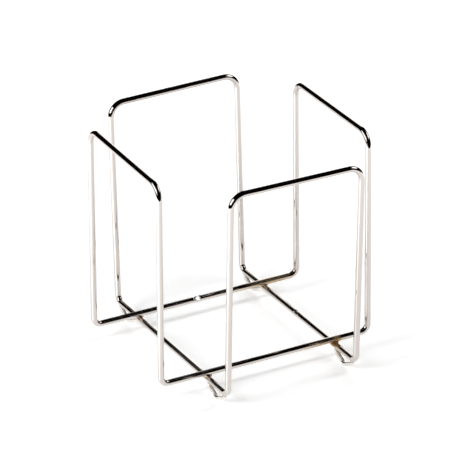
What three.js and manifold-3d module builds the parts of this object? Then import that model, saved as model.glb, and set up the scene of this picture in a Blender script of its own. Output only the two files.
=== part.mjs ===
// A napkin holder of bent and welded steel wire, chrome plated.
//
// Two wire frames of one shape stand across each other. Each frame is a single wire, bent into a pair of
// facing panels that two base bars join, and closed by a butt weld in the middle of one bar. The upper frame
// has the left and right panels. It lies on the lower frame, which has the front and back panels, and a weld
// holds each crossing of their bars. Four short bent wires under the lower frame's bars are the feet, each
// welded on at both of its ends.
//
// Millimetres, +Z up, X to the right, Y to the back. The origin is on the table, under the holder's middle.

import * as THREE from "three";
import { mergeVertices } from "three/addons/utils/BufferGeometryUtils.js";
import Module from "manifold-3d";

const wasm = await Module();
wasm.setup();

// Driving dimensions of the frames, in millimetres and degrees. Lengths run between wire centres. The rises
// are how far a panel's upper corners came out above the panel height, in the order that they were bent.
const FRAME_WIRE = 3.8; // wire diameter
const FRAME_LENGTH = 140; // between the two panels of a frame, at the base
const FRAME_WIDTH = 86.5; // between the two base bars of a frame, which is also a panel's width
const PANEL_HEIGHT = 130; // from a base bar up to a panel's top bar
const TOP_BEND = 9; // bend radius at a panel's upper corners
const BASE_BEND = 4.8; // bend radius where a base bar turns up into a panel
const UPPER_RISES = [0, -0.6, -2.5, -0.1]; // right panel's back and front corners, left panel's front and back
const LOWER_RISES = [0, 0.85, -0.8, 0.4]; // front panel's right and left corners, back panel's left and right
const UPPER_LEAN = -0.25; // outward lean of the left and right panels
const LOWER_LEAN = 2.3; // outward lean of the front and back panels
const LOWER_OFFSET_X = 4.4; // the lower frame is welded this far right of the upper frame's middle
const UPPER_OFFSET_Y = -2.2; // the upper frame is welded this far in front of the lower frame's middle

// Driving dimensions of the feet
const FOOT_WIRE = 2.8; // wire diameter
const FOOT_SPAN = 20; // between the two ends of a foot, along the bar that carries it
const FOOT_END_INSET = 3.5; // from a panel in to the outer end of the foot beside it
const FOOT_BEND = 6; // bend radius at the bottom of a foot
const STAND_HEIGHT = 8.7; // from the table up to the lower frame's base bars
const SOLE_DEPTH = 0.2; // taken off the bottom of a foot to level it

// Driving dimensions of the welds
const CROSSING_WELD_REACH = 1; // how far a crossing weld stands out past the wires that it joins
const CROSSING_WELD_HEIGHT = 3.2;
const FOOT_WELD = 3.8; // diameter of the bead at a foot's end
const BUTT_WELD_LENGTH = 4;
const BUTT_WELD_CROWN = 0.15; // how far a butt weld swells past the wire

// Clearances between neighbouring pieces
const CROSSING_GAP = 0.1; // between the crossing bars of the two frames
const FOOT_GAP = 0.25; // between a foot's end and the bar above it
const WELD_GAP = 0.2; // between a weld and the wires that it joins

// Fineness of the round shapes
const FRAME_SIDES = 16;
const FOOT_SIDES = 12;
const BEND_STEPS = 6;
const BEAD_SIDES = 16;
const BEAD_RINGS = 10;
const CROWN_STEPS = 6;

const chrome = new THREE.MeshStandardMaterial({ color: 0xd9d7d4, roughness: 0.08, metalness: 1 });
const weldMetal = new THREE.MeshStandardMaterial({ color: 0x8a7052, roughness: 0.4, metalness: 1 });

const at = (x, y, z) => new THREE.Vector3(x, y, z);

// The centreline of a bent wire: straight runs between corners, with each inner corner rounded to its bend
// radius. Its stations are the wire's two ends and a few points round each bend, because a straight run
// needs none between.
class BentWire extends THREE.Curve {
  constructor(corners, bendRadii) {
    super();
    const last = corners.length - 1;
    this.stations = [{ point: corners[0], tangent: direction(corners[0], corners[1]) }];
    for (let i = 1; i < last; i++) {
      this.addBend(corners[i - 1], corners[i], corners[i + 1], bendRadii[i - 1]);
    }
    this.stations.push({ point: corners[last], tangent: direction(corners[last - 1], corners[last]) });
  }

  addBend(before, corner, after, radius) {
    const arriving = direction(before, corner);
    const leaving = direction(corner, after);
    const turn = arriving.angleTo(leaving);
    const axis = arriving.clone().cross(leaving).normalize();
    const spoke = arriving.clone().cross(axis);
    const start = corner.clone().addScaledVector(arriving, -radius * Math.tan(turn / 2));
    const centre = start.clone().addScaledVector(spoke, -radius);
    for (let step = 0; step <= BEND_STEPS; step++) {
      const angle = (turn * step) / BEND_STEPS;
      const point = spoke.clone().applyAxisAngle(axis, angle).multiplyScalar(radius).add(centre);
      this.stations.push({ point, tangent: arriving.clone().applyAxisAngle(axis, angle) });
    }
  }

  get steps() {
    return this.stations.length - 1;
  }

  getSpacedPoints() {
    return this.stations.map((station) => station.point.clone());
  }

  getTangentAt(share) {
    return this.stations[Math.round(share * this.steps)].tangent.clone();
  }
}

function direction(from, to) {
  return to.clone().sub(from).normalize();
}

// A round wire of the given diameter along a centreline
function wireGeometry(centreline, diameter, sides) {
  const corner = (_, i) => {
    const angle = (2 * Math.PI * i) / sides;
    return new THREE.Vector2(Math.cos(angle), Math.sin(angle)).multiplyScalar(diameter / 2);
  };
  const section = new THREE.Shape(Array.from({ length: sides }, corner));
  return new THREE.ExtrudeGeometry(section, { steps: centreline.steps, extrudePath: centreline });
}

// A geometry as a solid that can be cut, and back
function solidOf(geometry) {
  const loose = geometry.index ? geometry.toNonIndexed() : geometry;
  const bare = new THREE.BufferGeometry().setAttribute("position", loose.getAttribute("position"));
  const merged = mergeVertices(bare);
  const vertProperties = merged.getAttribute("position").array;
  const triVerts = new Uint32Array(merged.index.array);
  return new wasm.Manifold(new wasm.Mesh({ numProp: 3, vertProperties, triVerts }));
}

function geometryOf(solid) {
  const { vertProperties, triVerts } = solid.getMesh();
  const position = new THREE.BufferAttribute(vertProperties, 3);
  return new THREE.BufferGeometry()
    .setAttribute("position", position)
    .setIndex(new THREE.BufferAttribute(triVerts, 1));
}

// A round bead of weld metal, flattened to the given height
function bead(width, height) {
  const ball = new THREE.SphereGeometry(width / 2, BEAD_SIDES, BEAD_RINGS);
  return ball.rotateX(Math.PI / 2).scale(1, 1, height / width);
}

function mesh(name, geometry, material) {
  const made = new THREE.Mesh(geometry, material);
  made.name = name;
  return made;
}

// Frames. A frame's own panels stand across its X axis, and its butt weld is in the bar at +Y.
const halfLength = FRAME_LENGTH / 2;
const halfWidth = FRAME_WIDTH / 2;

function leanAtTop(lean) {
  return PANEL_HEIGHT * Math.tan(THREE.MathUtils.degToRad(lean));
}

function frameCentreline(lean, rises) {
  const weldEnd = BUTT_WELD_LENGTH / 2 + WELD_GAP;
  const top = halfLength + leanAtTop(lean);
  const panel = (side, firstRise, secondRise) => [
    at(side * halfLength, side * halfWidth, 0),
    at(side * top, side * halfWidth, PANEL_HEIGHT + firstRise),
    at(side * top, -side * halfWidth, PANEL_HEIGHT + secondRise),
    at(side * halfLength, -side * halfWidth, 0),
  ];
  const panels = [...panel(1, rises[0], rises[1]), ...panel(-1, rises[2], rises[3])];
  const corners = [at(weldEnd, halfWidth, 0), ...panels, at(-weldEnd, halfWidth, 0)];
  const panelBends = [BASE_BEND, TOP_BEND, TOP_BEND, BASE_BEND];
  return new BentWire(corners, [...panelBends, ...panelBends]);
}

// The barrel of weld metal that fills the cut between a frame wire's two ends
function buttWeldGeometry() {
  const profile = [new THREE.Vector2(0, -BUTT_WELD_LENGTH / 2)];
  for (let step = 0; step <= CROWN_STEPS; step++) {
    const share = step / CROWN_STEPS;
    const radius = FRAME_WIRE / 2 + BUTT_WELD_CROWN * Math.sin(Math.PI * share);
    profile.push(new THREE.Vector2(radius, BUTT_WELD_LENGTH * (share - 0.5)));
  }
  profile.push(new THREE.Vector2(0, BUTT_WELD_LENGTH / 2));
  return new THREE.LatheGeometry(profile, FRAME_SIDES).rotateZ(-Math.PI / 2);
}

function frame(name, lean, rises) {
  const group = new THREE.Group();
  const wire = wireGeometry(frameCentreline(lean, rises), FRAME_WIRE, FRAME_SIDES);
  const weld = mesh(name + "_butt_weld", buttWeldGeometry(), weldMetal);
  weld.position.set(0, halfWidth, 0);
  group.add(mesh(name + "_frame_wire", wire, chrome), weld);
  return group;
}

// Feet. A foot is built under the middle of its span, with the bar above it along X and the panel at +X.
const footHalf = FOOT_SPAN / 2;
const panelX = footHalf + FOOT_END_INSET;

// The stretch of the lower frame that a foot hangs from: a bar that turns up into its panel
function barCentreline() {
  const up = STAND_HEIGHT + BASE_BEND;
  const out = up * Math.tan(THREE.MathUtils.degToRad(LOWER_LEAN));
  return new BentWire([at(-FOOT_SPAN, 0, 0), at(panelX, 0, 0), at(panelX + out, 0, up)], [BASE_BEND]);
}

// Height of that bar's underside, which rises where the bar bends
function barUnderside(x) {
  const turn = THREE.MathUtils.degToRad(90 - LOWER_LEAN);
  const past = x - (panelX - BASE_BEND * Math.tan(turn / 2));
  if (past <= 0) return -FRAME_WIRE / 2;
  return BASE_BEND - Math.sqrt((BASE_BEND + FRAME_WIRE / 2) ** 2 - past ** 2);
}

const soleZ = -STAND_HEIGHT;
const bendCentreZ = soleZ - SOLE_DEPTH + FOOT_WIRE / 2 + FOOT_BEND;
const footEnd = (x) => at(x, 0, barUnderside(x) - FOOT_GAP - FOOT_WIRE / 2);

// How steeply a foot's arm falls from its end to touch the round of its bottom bend
function armSlope(end) {
  const rise = bendCentreZ - end.z;
  return Math.asin(FOOT_BEND / Math.hypot(footHalf, rise)) - Math.atan2(rise, footHalf);
}

// A foot's centreline, with both of its ends drawn out by the given length
function footCentreline(extra) {
  const inner = footEnd(-footHalf);
  const outer = footEnd(footHalf);
  const innerFall = Math.tan(armSlope(inner));
  const outerFall = Math.tan(armSlope(outer));
  const cornerX = (inner.z - outer.z + footHalf * (outerFall - innerFall)) / (innerFall + outerFall);
  const corner = at(cornerX, 0, inner.z - innerFall * (cornerX + footHalf));
  const drawnOut = (end) => end.clone().addScaledVector(direction(corner, end), extra);
  return new BentWire([drawnOut(inner), corner, drawnOut(outer)], [FOOT_BEND]);
}

function footGeometry() {
  const wire = wireGeometry(footCentreline(0), FOOT_WIRE, FOOT_SIDES);
  const ground = new THREE.BoxGeometry(FOOT_SPAN, FOOT_WIRE * 2, FOOT_WIRE);
  ground.translate(0, 0, soleZ - FOOT_WIRE / 2);
  return geometryOf(solidOf(wire).subtract(solidOf(ground)));
}

// The bead between a foot's end and the bar, cut clear of both wires
function footWeldGeometry(x) {
  const bar = wireGeometry(barCentreline(), FRAME_WIRE + 2 * WELD_GAP, FRAME_SIDES);
  const foot = wireGeometry(footCentreline(WELD_GAP), FOOT_WIRE + 2 * WELD_GAP, FOOT_SIDES);
  const middle = (barUnderside(x) + footEnd(x).z) / 2;
  const blob = bead(FOOT_WELD, FOOT_WELD).translate(x, 0, middle);
  return geometryOf(solidOf(blob).subtract(solidOf(bar)).subtract(solidOf(foot)));
}

const footShape = footGeometry();
const innerWeldShape = footWeldGeometry(-footHalf);
const outerWeldShape = footWeldGeometry(footHalf);

function foot(name) {
  const group = new THREE.Group();
  group.add(
    mesh("foot_" + name, footShape, chrome),
    mesh("foot_weld_inner_" + name, innerWeldShape, weldMetal),
    mesh("foot_weld_outer_" + name, outerWeldShape, weldMetal),
  );
  return group;
}

// Crossing welds. Each is a ring of metal pressed out round the spot where an upper bar lies on a lower bar,
// and cut clear of both.
const barRise = FRAME_WIRE + CROSSING_GAP;

function crossingWeldGeometry() {
  const width = FRAME_WIRE + 2 * CROSSING_WELD_REACH;
  const bar = (end) => {
    const straight = new BentWire([end.clone().negate(), end], []);
    return wireGeometry(straight, FRAME_WIRE + 2 * WELD_GAP, FRAME_SIDES);
  };
  const upperBar = bar(at(width, 0, 0)).translate(0, 0, barRise / 2);
  const lowerBar = bar(at(0, width, 0)).translate(0, 0, -barRise / 2);
  const blob = bead(width, CROSSING_WELD_HEIGHT);
  return geometryOf(solidOf(blob).subtract(solidOf(upperBar)).subtract(solidOf(lowerBar)));
}

const crossingWeldShape = crossingWeldGeometry();

// The whole holder
const holder = new THREE.Group();

const upperFrame = frame("upper", UPPER_LEAN, UPPER_RISES);
upperFrame.position.set(0, UPPER_OFFSET_Y, STAND_HEIGHT + barRise);

const lowerFrame = frame("lower", LOWER_LEAN, LOWER_RISES);
lowerFrame.position.set(LOWER_OFFSET_X, 0, STAND_HEIGHT);
lowerFrame.rotation.z = -Math.PI / 2;

// Turned a quarter, the lower frame's own +X faces the front of the holder and its own +Y the right.
const footX = halfLength - panelX;
for (const [end, frontOrBack] of [[1, "front"], [-1, "back"]]) {
  for (const [side, leftOrRight] of [[-1, "left"], [1, "right"]]) {
    const name = frontOrBack + "_" + leftOrRight;

    const made = foot(name);
    made.position.set(end * footX, side * halfWidth, 0);
    made.rotation.z = end > 0 ? 0 : Math.PI;
    lowerFrame.add(made);

    const crossing = mesh("crossing_weld_" + name, crossingWeldShape, weldMetal);
    const crossingY = UPPER_OFFSET_Y - end * halfWidth;
    crossing.position.set(LOWER_OFFSET_X + side * halfWidth, crossingY, STAND_HEIGHT + barRise / 2);
    holder.add(crossing);
  }
}

holder.add(upperFrame, lowerFrame);

export default holder;
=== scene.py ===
# %% [markdown]
# # A napkin holder of bent chrome wire
# The real holder is two loops of drawn steel wire, bent alike, laid across each other and spot welded where
# their base bars cross. Four short bent wires under the lower bars are its feet. The welded frame is then
# plated, so one bright skin of chrome covers wire and weld alike. The CAD model has every piece in place at
# its real size. This script keeps those places and makes the surfaces that the eye sees.

# %% Load the CAD frame
import math

import bmesh
import bpy
from mathutils import Matrix, Vector, noise


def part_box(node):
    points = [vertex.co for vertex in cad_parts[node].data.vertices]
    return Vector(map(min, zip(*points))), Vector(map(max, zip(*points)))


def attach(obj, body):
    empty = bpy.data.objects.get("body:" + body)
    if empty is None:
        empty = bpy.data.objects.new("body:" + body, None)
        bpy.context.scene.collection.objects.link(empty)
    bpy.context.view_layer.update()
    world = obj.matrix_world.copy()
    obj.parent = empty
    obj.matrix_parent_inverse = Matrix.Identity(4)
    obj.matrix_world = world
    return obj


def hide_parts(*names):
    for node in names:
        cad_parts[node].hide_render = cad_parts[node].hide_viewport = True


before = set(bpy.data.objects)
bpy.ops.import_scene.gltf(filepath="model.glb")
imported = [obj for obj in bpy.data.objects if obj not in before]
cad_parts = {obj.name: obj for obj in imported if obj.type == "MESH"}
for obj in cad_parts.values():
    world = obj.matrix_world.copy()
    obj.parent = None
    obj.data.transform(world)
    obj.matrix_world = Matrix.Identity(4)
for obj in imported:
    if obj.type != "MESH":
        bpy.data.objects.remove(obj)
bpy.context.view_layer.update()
scene = bpy.context.scene
MM = 0.001
QUARTER = math.pi / 2
WHITE = (1, 1, 1, 1)


def in_mm(point):
    """A point in millimetres, to a tenth, for printing."""
    return [round(c / MM, 1) for c in point]


# %% [markdown]
# ## Camera
# The photograph was taken from the front left, a little above the holder, with a long lens: its verticals
# hardly lean together. A long focal length and a large distance give that flat perspective. The holder's
# place in the picture comes from the lens shift, so the camera can still aim at the holder's middle.

# %% Camera
CAMERA_AIM = Vector((4.4, 0, 68.7)) * MM
CAMERA_AZIMUTH = -28.57
CAMERA_ELEVATION = 26.28
CAMERA_DISTANCE = 2347.1 * MM
CAMERA_ROLL = math.radians(-0.40)
LENS = 309.5
PICTURE_WIDTH = 458
PICTURE_MIDDLE = (PICTURE_WIDTH - 1) / 2
AIM_PIXEL = (234.18, 240.55)


def direction(azimuth, elevation):
    """The way from the holder to a place round it, in degrees. Azimuth 0 is the front, 90 the right."""
    turn = math.radians(azimuth)
    rise = math.radians(elevation)
    return Vector((math.sin(turn) * math.cos(rise), -math.cos(turn) * math.cos(rise), math.sin(rise)))


def aim(thing, towards, roll=0.0):
    """Turns a camera, lamp or sheet so that it faces a point."""
    facing = (towards - thing.location).to_track_quat("-Z", "Y").to_matrix().to_4x4()
    thing.rotation_euler = (facing @ Matrix.Rotation(roll, 4, "Z")).to_euler()


camera = bpy.data.objects.new("camera", bpy.data.cameras.new("camera"))
scene.collection.objects.link(camera)
camera.location = CAMERA_AIM + direction(CAMERA_AZIMUTH, CAMERA_ELEVATION) * CAMERA_DISTANCE
aim(camera, CAMERA_AIM, CAMERA_ROLL)
camera.data.lens = LENS
camera.data.shift_x = (PICTURE_MIDDLE - AIM_PIXEL[0]) / PICTURE_WIDTH
camera.data.shift_y = (AIM_PIXEL[1] - PICTURE_MIDDLE) / PICTURE_WIDTH
scene.camera = camera
print("Camera at", [round(c, 3) for c in camera.location])

# %% [markdown]
# ## Table
# Chrome has hardly a colour of its own: it shows the room. The white under each bar is the table. An endless
# floor would be simpler, but the chrome would mirror it up to the horizon. So the table is a sheet with
# edges, and what lies past them is the dark room. A diffuse white takes the lamps' shadows. A glow, for the
# camera and for the metal alike, lifts it to the photograph's white. Away from the holder the glow grows,
# and that part is painted light: it fades the lamps' shadows out there.

# %% Table paper
TABLE_WHITE = (0.86, 0.86, 0.86, 1)
TABLE_ROUGHNESS = 0.38
TABLE_GLOW = 0.46
FAR_PAINTED_GLOW = 0.46
FAR_FROM = 0.09
FAR_TO = 0.50


def add_node(tree, kind, **settings):
    """A node with its options and its unlinked input values set by name."""
    node = tree.nodes.new(kind)
    for name, value in settings.items():
        if hasattr(node, name):
            setattr(node, name, value)
        else:
            node.inputs[name.replace("_", " ")].default_value = value
    return node


def calculate(tree, operation, first, second):
    """A Math node on two inputs, each a socket or a number."""
    node = add_node(tree, "ShaderNodeMath", operation=operation)
    for slot, value in enumerate((first, second)):
        if isinstance(value, (int, float)):
            node.inputs[slot].default_value = value
        else:
            tree.links.new(value, node.inputs[slot])
    return node.outputs[0]


def seen_rays(tree):
    """1 where a ray comes from the camera, from metal or through glass, and 0 where it only lights things."""
    path = add_node(tree, "ShaderNodeLightPath").outputs
    metal_or_glass = calculate(tree, "MAXIMUM", path["Is Glossy Ray"], path["Is Transmission Ray"])
    return calculate(tree, "MAXIMUM", path["Is Camera Ray"], metal_or_glass)


def table_paper():
    """White paper that takes shadows near the holder. Away from it, a glow of painted light fades it to plain
    white.
    """
    made = bpy.data.materials.new("white_table")
    made.use_nodes = True
    tree = made.node_tree
    tree.nodes.clear()
    place = add_node(tree, "ShaderNodeTexCoord")
    length = add_node(tree, "ShaderNodeVectorMath", operation="LENGTH")
    tree.links.new(place.outputs["Object"], length.inputs[0])
    # Painted light: the glow grows with distance from the holder and fades the shadows out there.
    far = add_node(tree, "ShaderNodeMapRange", From_Min=FAR_FROM, From_Max=FAR_TO, To_Min=TABLE_GLOW)
    far.inputs["To Max"].default_value = TABLE_GLOW + FAR_PAINTED_GLOW
    tree.links.new(length.outputs["Value"], far.inputs["Value"])
    paper = add_node(tree, "ShaderNodeBsdfPrincipled", Base_Color=TABLE_WHITE, Roughness=TABLE_ROUGHNESS)
    glow = add_node(tree, "ShaderNodeEmission", Color=WHITE)
    strength = calculate(tree, "MULTIPLY", seen_rays(tree), far.outputs["Result"])
    tree.links.new(strength, glow.inputs["Strength"])
    both = add_node(tree, "ShaderNodeAddShader")
    tree.links.new(paper.outputs[0], both.inputs[0])
    tree.links.new(glow.outputs[0], both.inputs[1])
    out = add_node(tree, "ShaderNodeOutputMaterial")
    tree.links.new(both.outputs[0], out.inputs["Surface"])
    made.cycles.emission_sampling = "NONE"
    return made


white_table = table_paper()
print("Table paper:", len(white_table.node_tree.nodes), "nodes")

# %% Table
TABLE_X = (-0.75, 0.90)
TABLE_Y = (-0.48, 0.65)


def make_object(name, mesh, material):
    """Turns a finished bmesh into an object at the origin."""
    data = bpy.data.meshes.new(name)
    mesh.to_mesh(data)
    mesh.free()
    data.materials.append(material)
    made = bpy.data.objects.new(name, data)
    scene.collection.objects.link(made)
    return made


def flat_sheet(width, height):
    """A rectangle about the origin, facing up. The grid's size is half its side."""
    mesh = bmesh.new()
    bmesh.ops.create_grid(mesh, x_segments=1, y_segments=1, size=0.5)
    bmesh.ops.scale(mesh, verts=mesh.verts[:], vec=(width, height, 1))
    return mesh


sheet = flat_sheet(TABLE_X[1] - TABLE_X[0], TABLE_Y[1] - TABLE_Y[0])
bmesh.ops.translate(sheet, verts=sheet.verts[:], vec=(sum(TABLE_X) / 2, sum(TABLE_Y) / 2, 0))
table = make_object("table", sheet, white_table)
print("Table", [round(c, 2) for c in table.dimensions], "m")

# %% [markdown]
# ## Room and lamps
# The black lines along the bars are a dark room above the table. The white flashes on the bends are a soft
# box on the left, another on the right and a white board behind. Each of these has two jobs. A lamp lights
# the table and casts the shadows. Its cloth face, which the metal mirrors, is a sheet that glows a little
# above white, because a camera clips it there, and a brighter one would swell past its true edges. The lamps
# stand where the shadows place them, and the faces where the flashes do.

# %% Room
ROOM_DARK = (0.002, 0.0016, 0.0013, 1)
scene.view_settings.view_transform = "Standard"


def dark_room():
    """A dark room, and plain white where the camera looks past the table."""
    world = bpy.data.worlds.new("room")
    world.use_nodes = True
    tree = world.node_tree
    tree.nodes.clear()
    path = add_node(tree, "ShaderNodeLightPath")
    dark = add_node(tree, "ShaderNodeBackground", Color=ROOM_DARK, Strength=1)
    white = add_node(tree, "ShaderNodeBackground", Color=WHITE, Strength=1)
    mix = add_node(tree, "ShaderNodeMixShader")
    out = add_node(tree, "ShaderNodeOutputWorld")
    tree.links.new(path.outputs["Is Camera Ray"], mix.inputs["Fac"])
    tree.links.new(dark.outputs[0], mix.inputs[1])
    tree.links.new(white.outputs[0], mix.inputs[2])
    tree.links.new(mix.outputs[0], out.inputs["Surface"])
    return world


scene.world = dark_room()
print("Room", scene.world.name)

# %% Lamps
LAMP_AIM = Vector((0, 0, 61)) * MM


def place_lamp(thing, place, tilt):
    """Puts a lamp or face in its place: facing the holder, or along X and tilted back by some degrees."""
    thing.location = LAMP_AIM + place
    thing.visible_camera = False
    if tilt is None:
        aim(thing, LAMP_AIM)
    else:
        thing.rotation_euler = (math.radians(tilt), 0, 0)


def soft_lamp(name, place, size, watts, tilt=None):
    """The light of a soft box, which the table takes and no metal mirrors."""
    light = bpy.data.lights.new(name, "AREA")
    light.shape = "RECTANGLE"
    light.size, light.size_y = size
    light.energy = watts
    lamp = bpy.data.objects.new(name, light)
    scene.collection.objects.link(lamp)
    place_lamp(lamp, place, tilt)
    lamp.visible_glossy = False
    return lamp


def light_only(lamp, target):
    """Keeps a lamp's own light on one object, so that its sheen shows there and no metal mirrors it."""
    lit = bpy.data.collections.new(lamp.name + "_lights")
    lit.objects.link(target)
    lamp.light_linking.receiver_collection = lit
    lamp.visible_glossy = True


# The lamps' places from the point that they aim at, in metres.
LEFT = direction(-82, 21) * 0.65
RIGHT = Vector((0.94, -0.35, 0.90))
BACK = direction(148, 17) * 1.3
left_box = soft_lamp("left_soft_box", LEFT, size=(0.22, 0.38), watts=4.5)
light_only(left_box, table)
right_strip = soft_lamp("right_strip", RIGHT, size=(1.2, 0.15), watts=7, tilt=21)
back_board = soft_lamp("back_board", BACK, size=(1.05, 0.8), watts=5)
print("Lamps:", [lamp.name for lamp in (left_box, right_strip, back_board)])

# %% Mirrored faces
CLOTH_WHITE = 2.0
BOARD_WHITE = 1.4


def lit_sheet(name, strength):
    """An even glow, for what the metal mirrors."""
    made = bpy.data.materials.new(name)
    made.use_nodes = True
    tree = made.node_tree
    tree.nodes.clear()
    glow = add_node(tree, "ShaderNodeEmission", Color=WHITE, Strength=strength)
    out = add_node(tree, "ShaderNodeOutputMaterial")
    tree.links.new(glow.outputs[0], out.inputs["Surface"])
    made.cycles.emission_sampling = "NONE"
    return made


def mirrored_face(name, place, size, material):
    """The face of a soft box or board, which only metal and glass mirror."""
    face = make_object(name, flat_sheet(*size), material)
    place_lamp(face, place, None)
    face.visible_diffuse = False
    face.visible_shadow = False
    return face


lit_cloth = lit_sheet("lit_cloth", CLOTH_WHITE)
lit_board = lit_sheet("lit_board", BOARD_WHITE)
faces = [
    mirrored_face("left_face", direction(-90, 28) * 1.5, size=(1.6, 0.86), material=lit_cloth),
    mirrored_face("right_face", direction(74, 38) * 0.75, size=(0.46, 0.30), material=lit_cloth),
    mirrored_face("back_face", direction(143, 15) * 0.76, size=(0.30, 0.54), material=lit_board),
]
print("Mirrored faces:", [face.name for face in faces])

# %% [markdown]
# ## What the chrome shows
# Bright plating is a mirror, so its detail is small: faint lines that the drawing die left along the wire,
# a slow wander of the surface, smears where hands hold it, and browned plating round the welds, where the
# heat reached. A painted picture would stretch round the bends, so noise makes these marks in the surface's
# own space. All the metals of the holder share them, so each is a node group. The die lines follow the wire
# round its bends, so they read where a point lay on the straight wire. The browning reads how near a weld is.
# The meshes carry both as attributes.

# %% Die lines
DIE_LINE_SCALE = (1500, 1500, 12)
WANDER_SCALE = (160, 160, 160)
WANDER_HEIGHT = 6


def start_group(name, inputs, outputs):
    """A new shader node group with named sockets, and its two end nodes."""
    group = bpy.data.node_groups.new(name, "ShaderNodeTree")
    for socket, kind in inputs.items():
        group.interface.new_socket(socket, in_out="INPUT", socket_type="NodeSocket" + kind)
    for socket, kind in outputs.items():
        group.interface.new_socket(socket, in_out="OUTPUT", socket_type="NodeSocket" + kind)
    return group, group.nodes.new("NodeGroupInput"), group.nodes.new("NodeGroupOutput")


def noise_value(tree, place, scale, detail):
    """Noise at a place, with its own scale along each axis, per metre."""
    mapping = add_node(tree, "ShaderNodeMapping", Scale=scale)
    tree.links.new(place, mapping.inputs["Vector"])
    grain = add_node(tree, "ShaderNodeTexNoise", Scale=1, Detail=detail)
    tree.links.new(mapping.outputs["Vector"], grain.inputs["Vector"])
    return grain.outputs["Fac"]


def die_lines():
    """Fine lines along the wire and a slow wander of its surface, as a height."""
    inputs = {"Straight": "Vector", "Place": "Vector"}
    group, given, made = start_group("die_lines", inputs, {"Height": "Float"})
    lines = noise_value(group, given.outputs["Straight"], DIE_LINE_SCALE, detail=2)
    wander = noise_value(group, given.outputs["Place"], WANDER_SCALE, detail=1)
    slow = calculate(group, "MULTIPLY", wander, WANDER_HEIGHT)
    group.links.new(calculate(group, "ADD", lines, slow), made.inputs["Height"])
    return group


effects = {"die_lines": die_lines()}
print("Die lines:", len(effects["die_lines"].nodes), "nodes")

# %% Heat tint
# The tint at each heat: straw, gold and brown.
HEAT_COLOURS = [
    (0.30, (0.95, 0.80, 0.58, 1)),
    (0.55, (0.80, 0.48, 0.17, 1)),
    (1.00, (0.62, 0.27, 0.07, 1)),
]
HEAT_PATCH_SCALE = (420, 420, 420)
LEAST_PATCH = 0.5
# Oxide sets in over this range of heat. It takes shine away and adds roughness.
OXIDE_FROM = 0.15
OXIDE_TO = 0.70
OXIDE_MATT = 0.85
OXIDE_DULLNESS = 0.25


def mix_colour(tree, blend, first, second):
    """Two colour sockets blended in full."""
    node = add_node(tree, "ShaderNodeMix", data_type="RGBA", blend_type=blend)
    node.inputs["Factor"].default_value = 1
    colours = [socket for socket in node.inputs if socket.type == "RGBA"]
    tree.links.new(first, colours[0])
    tree.links.new(second, colours[1])
    return next(socket for socket in node.outputs if socket.type == "RGBA")


def heat_tint():
    """Plating that turns straw, gold and brown towards a weld, as oxide takes the place of the shine."""
    inputs = {"Plating": "Color", "Heat": "Float", "Place": "Vector"}
    outputs = {"Color": "Color", "Metal": "Float", "Dullness": "Float"}
    group, given, made = start_group("heat_tint", inputs, outputs)
    patches = noise_value(group, given.outputs["Place"], HEAT_PATCH_SCALE, detail=3)
    uneven = calculate(group, "ADD", patches, LEAST_PATCH)
    heat = calculate(group, "MULTIPLY", given.outputs["Heat"], uneven)
    ramp = add_node(group, "ShaderNodeValToRGB")
    stops = ramp.color_ramp.elements
    stops[0].color = WHITE
    stops[1].color = HEAT_COLOURS[-1][1]
    for position, colour in HEAT_COLOURS[:-1]:
        stops.new(position).color = colour
    group.links.new(heat, ramp.inputs["Fac"])
    stained = mix_colour(group, "MULTIPLY", given.outputs["Plating"], ramp.outputs["Color"])
    oxide = add_node(group, "ShaderNodeMapRange", From_Min=OXIDE_FROM, From_Max=OXIDE_TO)
    group.links.new(heat, oxide.inputs["Value"])
    film = oxide.outputs["Result"]
    lost_shine = calculate(group, "MULTIPLY", film, OXIDE_MATT)
    group.links.new(stained, made.inputs["Color"])
    group.links.new(calculate(group, "SUBTRACT", 1, lost_shine), made.inputs["Metal"])
    group.links.new(calculate(group, "MULTIPLY", film, OXIDE_DULLNESS), made.inputs["Dullness"])
    return group


effects["heat_tint"] = heat_tint()
print("Heat tint:", len(effects["heat_tint"].nodes), "nodes")

# %% Handling marks
SMEAR_SCALE = (70, 70, 45)
SPECK_SCALE = (1800, 1800, 1800)


def handling_marks():
    """Roughness of a polish with faint smears and specks on it."""
    inputs = {"Place": "Vector", "Polish": "Float", "Smears": "Float"}
    group, given, made = start_group("handling_marks", inputs, {"Roughness": "Float"})
    smears = noise_value(group, given.outputs["Place"], SMEAR_SCALE, detail=3)
    specks = noise_value(group, given.outputs["Place"], SPECK_SCALE, detail=1)
    both = calculate(group, "MULTIPLY", smears, specks)
    added = calculate(group, "MULTIPLY", both, given.outputs["Smears"])
    group.links.new(calculate(group, "ADD", given.outputs["Polish"], added), made.inputs["Roughness"])
    return group


effects["handling_marks"] = handling_marks()
print("Handling marks:", len(effects["handling_marks"].nodes), "nodes")

# %% [markdown]
# ## The metals
# All the metals are one recipe with different values. The frame wire is the brightest. The feet are plated
# less evenly and rub on the table. Their plating is also painted lighter than the frame wire's, as painted
# light where they lie in the shade under the bars. The beads on the feet are lumpy and pale. Those at the
# crossings are a darker metal.

# %% Metals
CHROME = (0.65, 0.605, 0.575, 1)
# Painted light: the feet's plating is lighter than the frame's, so that they stay bright in the shade under
# the bars.
FOOT_CHROME_PAINTED_LIGHTER = (0.88, 0.84, 0.80, 1)
WELD_METAL = (0.82, 0.77, 0.72, 1)
# A darker metal for the beads where the bars cross.
CROSSING_METAL = (0.40, 0.34, 0.29, 1)
WIRE_RELIEF = 0.006 * MM
FOOT_RELIEF = 0.010 * MM
BEAD_RELIEF = 0.030 * MM


def attribute(tree, name, output):
    """What a mesh carries under a name."""
    return add_node(tree, "ShaderNodeAttribute", attribute_name=name).outputs[output]


def place_effect(tree, name, **inputs):
    """One of the node groups, with each input a socket or a value."""
    node = add_node(tree, "ShaderNodeGroup", node_tree=effects[name])
    for socket, value in inputs.items():
        if isinstance(value, bpy.types.NodeSocket):
            tree.links.new(value, node.inputs[socket])
        else:
            node.inputs[socket].default_value = value
    return node


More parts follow.
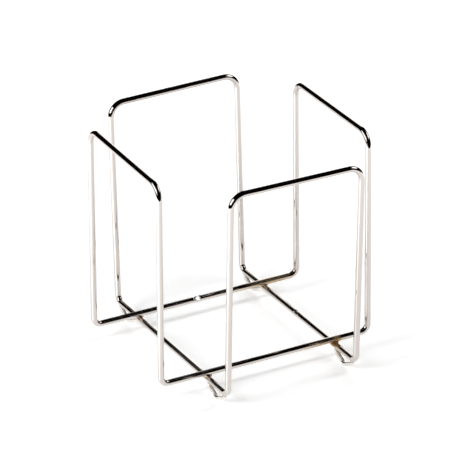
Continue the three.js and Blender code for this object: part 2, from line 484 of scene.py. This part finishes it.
def plated(name, plating, relief, shine, polish, smears):
    """Plated steel with die lines, smears and browning. A rough metal has less shine and looks paler."""
    made = bpy.data.materials.new(name)
    made.use_nodes = True
    tree = made.node_tree
    shader = tree.nodes["Principled BSDF"]
    place = add_node(tree, "ShaderNodeTexCoord").outputs["Object"]
    heat = attribute(tree, "weld_heat", "Fac")
    tint = place_effect(tree, "heat_tint", Plating=plating, Heat=heat, Place=place)
    marks = place_effect(tree, "handling_marks", Place=place, Polish=polish, Smears=smears)
    lines = place_effect(tree, "die_lines", Straight=attribute(tree, "straight", "Vector"), Place=place)
    roughness = calculate(tree, "ADD", marks.outputs["Roughness"], tint.outputs["Dullness"])
    bump = add_node(tree, "ShaderNodeBump", Strength=1, Distance=relief)
    tree.links.new(tint.outputs["Color"], shader.inputs["Base Color"])
    tree.links.new(calculate(tree, "MULTIPLY", tint.outputs["Metal"], shine), shader.inputs["Metallic"])
    tree.links.new(roughness, shader.inputs["Roughness"])
    tree.links.new(lines.outputs["Height"], bump.inputs["Height"])
    tree.links.new(bump.outputs["Normal"], shader.inputs["Normal"])
    return made


bright_chrome = plated("bright_chrome", CHROME, WIRE_RELIEF, shine=1.0, polish=0.025, smears=0.05)
foot_plating_painted_lighter = plated("foot_plating_painted_lighter", FOOT_CHROME_PAINTED_LIGHTER, FOOT_RELIEF, shine=1.0, polish=0.05, smears=0.12)
bead_metal = plated("bead_metal", WELD_METAL, BEAD_RELIEF, shine=0.5, polish=0.22, smears=0.20)
crossing_metal = plated("crossing_metal", CROSSING_METAL, BEAD_RELIEF, shine=1.0, polish=0.12, smears=0.20)
metals = (bright_chrome, foot_plating_painted_lighter, bead_metal, crossing_metal)
print("Metals:", [made.name for made in metals])

# %% [markdown]
# ## The bent wires
# A wire bender feeds straight wire and swings it round a former, again and again, until the loop comes back
# to where it began. A curve with a round section would be quicker, but it doesn't tell where each point lay
# on the straight wire, which the die lines need. So the mesh is made as the bender works: a ring of the
# wire's section is drawn along each straight run, and spun about the former's middle at each bend.

# %% Wire bender
TRIAL_WIRE = 4 * MM
TRIAL_ARM = 30 * MM
TRIAL_BEND = 10 * MM


def track(heading):
    """The turn that points a ring's axis along a heading."""
    return heading.to_track_quat("Z", "Y").to_matrix().to_4x4()


def boundary(parts):
    """The open edges among the parts of a mesh."""
    return [part for part in parts if isinstance(part, bmesh.types.BMEdge) and part.is_boundary]


class WireBender:
    """Draws and spins a ring of wire, and keeps in a layer where each point lay on the straight wire."""

    def __init__(self, start, heading, wire, sides):
        self.mesh = bmesh.new()
        self.layer = self.mesh.verts.layers.float_vector.new("straight")
        self.length = 0.0
        place = Matrix.Translation(start) @ track(heading)
        bmesh.ops.create_circle(self.mesh, segments=sides, radius=wire / 2, matrix=place)
        back = place.inverted()
        for vert in self.mesh.verts:
            vert[self.layer] = back @ vert.co
        self.edges = self.mesh.edges[:]

    def mark(self, edges, step):
        """Goes on from a new ring, and notes how much wire has been fed."""
        self.length += step
        self.edges = edges
        for vert in {vert for edge in edges for vert in edge.verts}:
            vert[self.layer] = Vector((*vert[self.layer].xy, self.length))

    def feed(self, run, longest_step):
        """Draws the ring along a straight run."""
        steps = max(1, math.ceil(run.length / longest_step))
        for _ in range(steps):
            made = bmesh.ops.extrude_edge_only(self.mesh, edges=self.edges)["geom"]
            verts = [part for part in made if isinstance(part, bmesh.types.BMVert)]
            bmesh.ops.translate(self.mesh, verts=verts, vec=run / steps)
            self.mark(boundary(made), run.length / steps)

    def swing(self, centre, axis, turn, radius, steps):
        """Spins the ring about the middle of a former."""
        step = turn / steps
        for _ in range(steps):
            made = bmesh.ops.spin(self.mesh, geom=self.edges, cent=centre, axis=axis, angle=step, steps=1)
            self.mark(boundary(made["geom_last"]), radius * step)

    def cut_off(self):
        """Closes both ends flat, and shades only the round of the wire smooth."""
        ends = [edge for edge in self.mesh.edges if edge.is_boundary]
        bmesh.ops.holes_fill(self.mesh, edges=ends, sides=0)
        bmesh.ops.recalc_face_normals(self.mesh, faces=self.mesh.faces[:])
        for face in self.mesh.faces:
            face.smooth = len(face.verts) == 4
        return self.mesh


def bent_wire(corners, bend_radii, wire, sides, longest_step, bend_steps=1):
    """A wire along straight runs between corners, each inner corner rounded to its bend radius."""
    here = corners[0]
    bender = WireBender(here, (corners[1] - here).normalized(), wire, sides)
    for corner, after, radius in zip(corners[1:-1], corners[2:], bend_radii):
        heading = (corner - here).normalized()
        leaving = (after - corner).normalized()
        turn = heading.angle(leaving)
        axis = heading.cross(leaving).normalized()
        reach = radius * math.tan(turn / 2)
        start = corner - heading * reach
        bender.feed(start - here, longest_step)
        bender.swing(start + axis.cross(heading) * radius, axis, turn, radius, bend_steps)
        here = corner + leaving * reach
    bender.feed(corners[-1] - here, longest_step)
    return bender.cut_off()


trial_corners = [Vector((0, 0, 0)), Vector((TRIAL_ARM, 0, 0)), Vector((TRIAL_ARM, TRIAL_ARM, 0))]
trial = bent_wire(trial_corners, [TRIAL_BEND], TRIAL_WIRE, sides=12, longest_step=TRIAL_ARM, bend_steps=8)
print("Trial bend:", len(trial.faces), "faces, closed:", all(edge.is_manifold for edge in trial.edges))
trial.free()

# %% [markdown]
# ## Where the heat reached
# Each weld browned the plating round it, the front right crossing most. The colour fades with distance along
# the wire. It could be painted on, but the wires would then have to be painted again after every change, so
# every vertex gets a heat from how near it is to the welds. The places of the welds come from the CAD nodes,
# and only how hot each one was is read off the photograph.

# %% Heat of the welds
CORNERS = ("front_left", "front_right", "back_left", "back_right")
# How hot each crossing was, and how far its burn reaches.
BURN = {
    "front_left": (0.16, 2.9 * MM),
    "front_right": (1.0, 3.8 * MM),
    "back_left": (0.12, 2.9 * MM),
    "back_right": (0.2, 2.9 * MM),
}
# How far along the bar a haze lies from its crossing, how strong it is, and how far it reaches.
HAZE = {
    "front_right": (-11 * MM, 0.36, 13 * MM),
    "back_right": (2 * MM, 0.38, 20 * MM),
}
# A haze keeps to its bar, so a distance in height counts three times.
HAZE_SHAPE = Vector((1, 1, 3))


def node_middle(node):
    """The middle of a CAD node's box."""
    low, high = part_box(node)
    return (low + high) / 2


def fade(distance, reach):
    """Falls from 1 at no distance to nearly 0 at twice the reach."""
    return math.exp(-(distance / reach) ** 2)


def heat_at(point, hazed):
    """How far a point was heated, from 0 to 1: burnt close to a weld, and hazed along its bar."""
    heats = []
    for corner, (strength, reach) in BURN.items():
        heats.append(strength * fade((point - hot_spots[corner]).length, reach))
    if hazed:
        for corner, (shift, strength, reach) in HAZE.items():
            away = (point - hot_spots[corner] - Vector((shift, 0, 0))) * HAZE_SHAPE
            heats.append(strength * fade(away.length, reach))
    return max(heats)


def warm(mesh, hazed=False):
    """Writes each vertex's heat in a layer."""
    layer = mesh.verts.layers.float.new("weld_heat")
    for vert in mesh.verts:
        vert[layer] = heat_at(vert.co, hazed)


hot_spots = {corner: node_middle("crossing_weld_" + corner) for corner in CORNERS}
print("Hot spots in mm:", {corner: in_mm(spot) for corner, spot in hot_spots.items()})

# %% [markdown]
# ## The two frames
# Both frames are the same loop: two facing panels and the two base bars that join them. The lower one is
# turned a quarter. They were bent and welded by hand, so the panels lean a little, by different angles, and
# their upper corners rise a little above or below the panel height. One function makes both. It takes each
# frame's width and place from the CAD node's box, so the finished frame stays where the CAD frame is.

# %% The two frames
FRAME_WIRE = 3.8 * MM
FRAME_LENGTH = 140 * MM
PANEL_HEIGHT = 130 * MM
TOP_BEND = 9 * MM
BASE_BEND = 4.8 * MM
UPPER_LEAN = math.radians(-0.25)
LOWER_LEAN = math.radians(2.3)
# How far each upper corner stands above the panel height, in millimetres and in the order of the bends.
UPPER_RISES = (0, -0.6, -2.5, -0.1)
LOWER_RISES = (0, 0.85, -0.8, 0.4)
WELD_OVERLAP = 0.5 * MM
FRAME_SIDES = 32
FRAME_STEP = 1.5 * MM
FRAME_BEND_STEPS = 20


def add_piece(name, node, mesh, material):
    """A finished piece in the place of its CAD node."""
    piece = make_object(name, mesh, material)
    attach(piece, "root")
    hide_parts(node)
    return piece


def frame_corners(width, lean, rises, weld_length):
    """Corners of one frame's wire, with its panels across X and its butt weld in the bar at +Y."""
    long = FRAME_LENGTH / 2
    top = long + PANEL_HEIGHT * math.tan(lean)
    wide = width / 2
    cut = weld_length / 2 - WELD_OVERLAP
    heights = [PANEL_HEIGHT + rise * MM for rise in rises]
    corners = [Vector((cut, wide, 0))]
    for side, first, second in ((1, heights[0], heights[1]), (-1, heights[2], heights[3])):
        corners += [Vector((side * long, side * wide, 0)), Vector((side * top, side * wide, first))]
        corners += [Vector((side * top, -side * wide, second)), Vector((side * long, -side * wide, 0))]
    return corners + [Vector((-cut, wide, 0))]


def frame_wire(name, node, weld, lean, rises, turn, hazed):
    """One frame, with its size and place from its CAD node."""
    low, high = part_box(node)
    size = high - low
    middle = (low + high) / 2
    weld_low, weld_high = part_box(weld)
    bar_axis, wide_axis = (0, 1) if turn == 0 else (1, 0)
    place = Matrix.Translation((middle.x, middle.y, low.z + FRAME_WIRE / 2)) @ Matrix.Rotation(turn, 4, "Z")
    weld_length = (weld_high - weld_low)[bar_axis]
    corners = frame_corners(size[wide_axis] - FRAME_WIRE, lean, rises, weld_length)
    placed = [place @ corner for corner in corners]
    bends = [BASE_BEND, TOP_BEND, TOP_BEND, BASE_BEND] * 2
    mesh = bent_wire(placed, bends, FRAME_WIRE, FRAME_SIDES, FRAME_STEP, FRAME_BEND_STEPS)
    warm(mesh, hazed)
    return add_piece(name, node, mesh, bright_chrome)


upper = frame_wire(
    "upper_wire", "upper_frame_wire", "upper_butt_weld",
    lean=UPPER_LEAN, rises=UPPER_RISES, turn=0, hazed=True,
)
lower = frame_wire(
    "lower_wire", "lower_frame_wire", "lower_butt_weld",
    lean=LOWER_LEAN, rises=LOWER_RISES, turn=-QUARTER, hazed=False,
)
for piece in (upper, lower):
    print(piece.name, len(piece.data.polygons), "faces", list(piece.data.attributes.keys()))

# %% [markdown]
# ## The feet
# A foot is a short length of thinner wire bent to a shallow V. Its two ends are welded under a base bar, the
# outer one where the bar begins to turn up, and its bottom is worn flat on the table. The same wire bender
# makes it. A level cut makes the sole, and a plumb cut trims each end, which would otherwise tip up and
# mirror the dark room instead of the table.

# %% Where the feet sit
FOOT_WIRE = 2.8 * MM
FOOT_SPAN = 20 * MM
FOOT_BEND = 6 * MM
FOOT_GAP = 0.25 * MM
SOLE_DEPTH = 0.2 * MM
bar_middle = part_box("lower_frame_wire")[0].z + FRAME_WIRE / 2
panel_y = FRAME_LENGTH / 2


def bar_underside(past):
    """Height of a lower bar's underside, at a distance past the start of its base bend."""
    if past <= 0:
        return bar_middle - FRAME_WIRE / 2
    return bar_middle + BASE_BEND - math.sqrt((BASE_BEND + FRAME_WIRE / 2) ** 2 - past ** 2)


def foot_ends(node):
    """A foot's inner end, the middle of its bottom bend, and its outer end."""
    low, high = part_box(node)
    middle = (low + high) / 2
    outward = math.copysign(1, middle.y)
    bend_start = panel_y - BASE_BEND * math.tan((QUARTER - LOWER_LEAN) / 2)
    ends = []
    for side in (-1, 1):
        reach = abs(middle.y) + side * FOOT_SPAN / 2
        height = bar_underside(reach - bend_start) - FOOT_GAP - FOOT_WIRE / 2
        ends.append(Vector((middle.x, outward * reach, height)))
    centre = Vector((middle.x, middle.y, low.z - SOLE_DEPTH + FOOT_WIRE / 2 + FOOT_BEND))
    return ends[0], centre, ends[1]


for corner_name in CORNERS:
    print(corner_name, "foot in mm:", [in_mm(point) for point in foot_ends("foot_" + corner_name)])

# %% Feet
FOOT_SIDES = 24
FOOT_STEP = 0.6 * MM
FOOT_BEND_STEPS = 24


def fall(end, centre):
    """How steeply a foot's arm falls from its end to touch the round of its bottom bend."""
    across = abs(end.y - centre.y)
    rise = centre.z - end.z
    return math.tan(math.asin(FOOT_BEND / math.hypot(across, rise)) - math.atan2(rise, across))


def cut_flat(mesh, place, facing):
    """Takes off what lies past a plane, and closes the cut."""
    everything = mesh.verts[:] + mesh.edges[:] + mesh.faces[:]
    bmesh.ops.bisect_plane(mesh, geom=everything, plane_co=place, plane_no=facing, clear_outer=True)
    rim = [edge for edge in mesh.edges if edge.is_boundary]
    for face in bmesh.ops.holes_fill(mesh, edges=rim, sides=0)["faces"]:
        face.smooth = False


def foot(corner_name):
    """One foot: a wire bent to a V, with a level sole and plumb ends."""
    node = "foot_" + corner_name
    inner, centre, outer = foot_ends(node)
    inner_fall = fall(inner, centre)
    outer_fall = fall(outer, centre)
    run = (inner.z - outer.z + FOOT_SPAN * outer_fall) / (inner_fall + outer_fall)
    outward = math.copysign(1, centre.y)
    bottom = Vector((centre.x, inner.y + outward * run, inner.z - inner_fall * run))
    mesh = bent_wire([inner, bottom, outer], [FOOT_BEND], FOOT_WIRE, FOOT_SIDES, FOOT_STEP, FOOT_BEND_STEPS)
    cut_flat(mesh, Vector((0, 0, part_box(node)[0].z)), Vector((0, 0, -1)))
    for end, slope, side in ((inner, inner_fall, -outward), (outer, outer_fall, outward)):
        facing = Vector((0, side, 0))
        cut_flat(mesh, end - facing * FOOT_WIRE / 2 * math.sin(math.atan(slope)), facing)
    bmesh.ops.recalc_face_normals(mesh, faces=mesh.faces[:])
    warm(mesh)
    return add_piece(corner_name + "_foot", node, mesh, foot_plating_painted_lighter)


feet = [foot(corner_name) for corner_name in CORNERS]
for piece in feet:
    sole = min(vert.co.z for vert in piece.data.vertices)
    print(piece.name, len(piece.data.polygons), "faces, sole at", round(sole / MM, 3), "mm")

# %% [markdown]
# ## The welds
# Where two wires meet, metal was pressed or melted out of the joint and froze as a bead, rounder than the
# wires and never quite even. Metaballs could flow like that, but they are hard to hold to a size. So a bead
# starts as a ball, is pushed in and out by a slow noise, so that no two are alike, and is then pressed to its
# size. Plating covers it, but the heat shows through.

# %% Beads
BEAD_SIDES = 32
BEAD_RINGS = 20
# A ball of 1 across shrinks to its core, and noise of two scales pushes it in and out.
BEAD_CORE = 0.93
LUMP_SCALE = 5
LUMP_HEIGHT = 0.10
LUMP_SHIFT = (7.3, 3.1, 1)
RIPPLE_SCALE = 14
RIPPLE_HEIGHT = 0.025
RIPPLE_SHIFT = (1, 5.7, 0)
BEAD_SMOOTHING = 0.4
# The share of its CAD weld's size that each crossing bead has.
CROSSING_BEADS = {"front_left": 0.95, "front_right": 0.78, "back_left": 0.80, "back_right": 0.70}
FOOT_WELD = Vector((2.9, 3.2, 2.2)) * MM
FOOT_WELD_INSET = 0.8 * MM
FIRST_FOOT_SEED = 10


def bead_noise(point, scale, shift, seed):
    """Noise on a bead, taken from another place for each seed."""
    return noise.noise(point * scale + Vector([seed * step for step in shift]))


def bead(name, node, middle, size, seed, metal):
    """A lump of weld metal, a little different for each seed."""
    mesh = bmesh.new()
    straight = mesh.verts.layers.float_vector.new("straight")
    bmesh.ops.create_uvsphere(mesh, u_segments=BEAD_SIDES, v_segments=BEAD_RINGS, radius=0.5)
    for vert in mesh.verts:
        lump = bead_noise(vert.co, LUMP_SCALE, LUMP_SHIFT, seed)
        ripple = bead_noise(vert.co, RIPPLE_SCALE, RIPPLE_SHIFT, seed)
        vert.co *= BEAD_CORE + LUMP_HEIGHT * lump + RIPPLE_HEIGHT * ripple
    every_axis = {"use_axis_x": True, "use_axis_y": True, "use_axis_z": True}
    bmesh.ops.smooth_vert(mesh, verts=mesh.verts[:], factor=BEAD_SMOOTHING, **every_axis)
    bmesh.ops.scale(mesh, verts=mesh.verts[:], vec=size)
    bmesh.ops.translate(mesh, verts=mesh.verts[:], vec=middle)
    for vert in mesh.verts:
        vert[straight] = vert.co
    for face in mesh.faces:
        face.smooth = True
    warm(mesh)
    return add_piece(name, node, mesh, metal)


beads = []
for number, corner_name in enumerate(CORNERS):
    crossing = "crossing_weld_" + corner_name
    low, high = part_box(crossing)
    size = (high - low) * CROSSING_BEADS[corner_name]
    name = corner_name + "_crossing_bead"
    beads.append(bead(name, crossing, (low + high) / 2, size, number, crossing_metal))
    inner, centre, outer = foot_ends("foot_" + corner_name)
    for place, end in (("inner", inner), ("outer", outer)):
        node = "foot_weld_" + place + "_" + corner_name
        inward = math.copysign(FOOT_WELD_INSET, centre.y - end.y)
        middle = end + Vector((0, inward, FOOT_WIRE / 2))
        name = corner_name + "_" + place + "_bead"
        beads.append(bead(name, node, middle, FOOT_WELD, len(beads) + FIRST_FOOT_SEED, bead_metal))
print(len(beads), "beads")

# %% [markdown]
# ## The butt welds
# Each frame's wire closes on itself in the middle of one bar. That weld was ground back nearly to the wire,
# which left a low barrel, a little pressed on its upper side. In the right bar only a nick shows. In the back
# bar the wheel went deeper and left a flat on the front, which catches the right soft box. The weld is the
# wire's own ring, drawn over the joint, swelled in the middle, pressed on top and cut where it was ground.

# %% Butt welds
BUTT_STEP = 0.2 * MM
# Shares of the swelling that are even, and that vary with the grain.
EVEN_SWELL = 0.8
UNEVEN_SWELL = 0.2
SWELL_GRAIN = 1.5 * MM
# The share of its radius that the top loses, and how far up a side has to face for that.
PRESSED_DEPTH = 0.10
PRESSED_FROM = 0.75
GROUND_DEPTH = 0.25 * MM
GROUND_FACING = Vector((0.16, -0.71, 0.69)).normalized()


def butt_weld(name, node, axis, ground):
    """The barrel over a frame's joint, along one axis, with a flat ground on it or none."""
    low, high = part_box(node)
    middle = (low + high) / 2
    half = Vector((0, 0, 0))
    half[axis] = (high - low)[axis] / 2
    mesh = bent_wire([middle - half, middle + half], [], FRAME_WIRE, FRAME_SIDES, BUTT_STEP)
    crown = (high - low).z / FRAME_WIRE - 1
    for vert in mesh.verts:
        out = vert.co - middle
        along = out[axis] / half[axis]
        out[axis] = 0
        uneven = EVEN_SWELL + UNEVEN_SWELL * noise.noise(vert.co / SWELL_GRAIN)
        swell = 1 + crown * math.cos(along * QUARTER) * uneven
        pressed = max(0, out.normalized().z - PRESSED_FROM) / (1 - PRESSED_FROM)
        vert.co += out * (swell * (1 - PRESSED_DEPTH * pressed) - 1)
    if ground:
        cut_flat(mesh, middle + GROUND_FACING * (FRAME_WIRE / 2 - GROUND_DEPTH), GROUND_FACING)
    bmesh.ops.recalc_face_normals(mesh, faces=mesh.faces[:])
    warm(mesh)
    return add_piece(name, node, mesh, bright_chrome)


butt_welds = [
    butt_weld("upper_ground_weld", "upper_butt_weld", axis=0, ground=True),
    butt_weld("lower_ground_weld", "lower_butt_weld", axis=1, ground=False),
]
for piece in butt_welds:
    print(piece.name, len(piece.data.polygons), "faces")
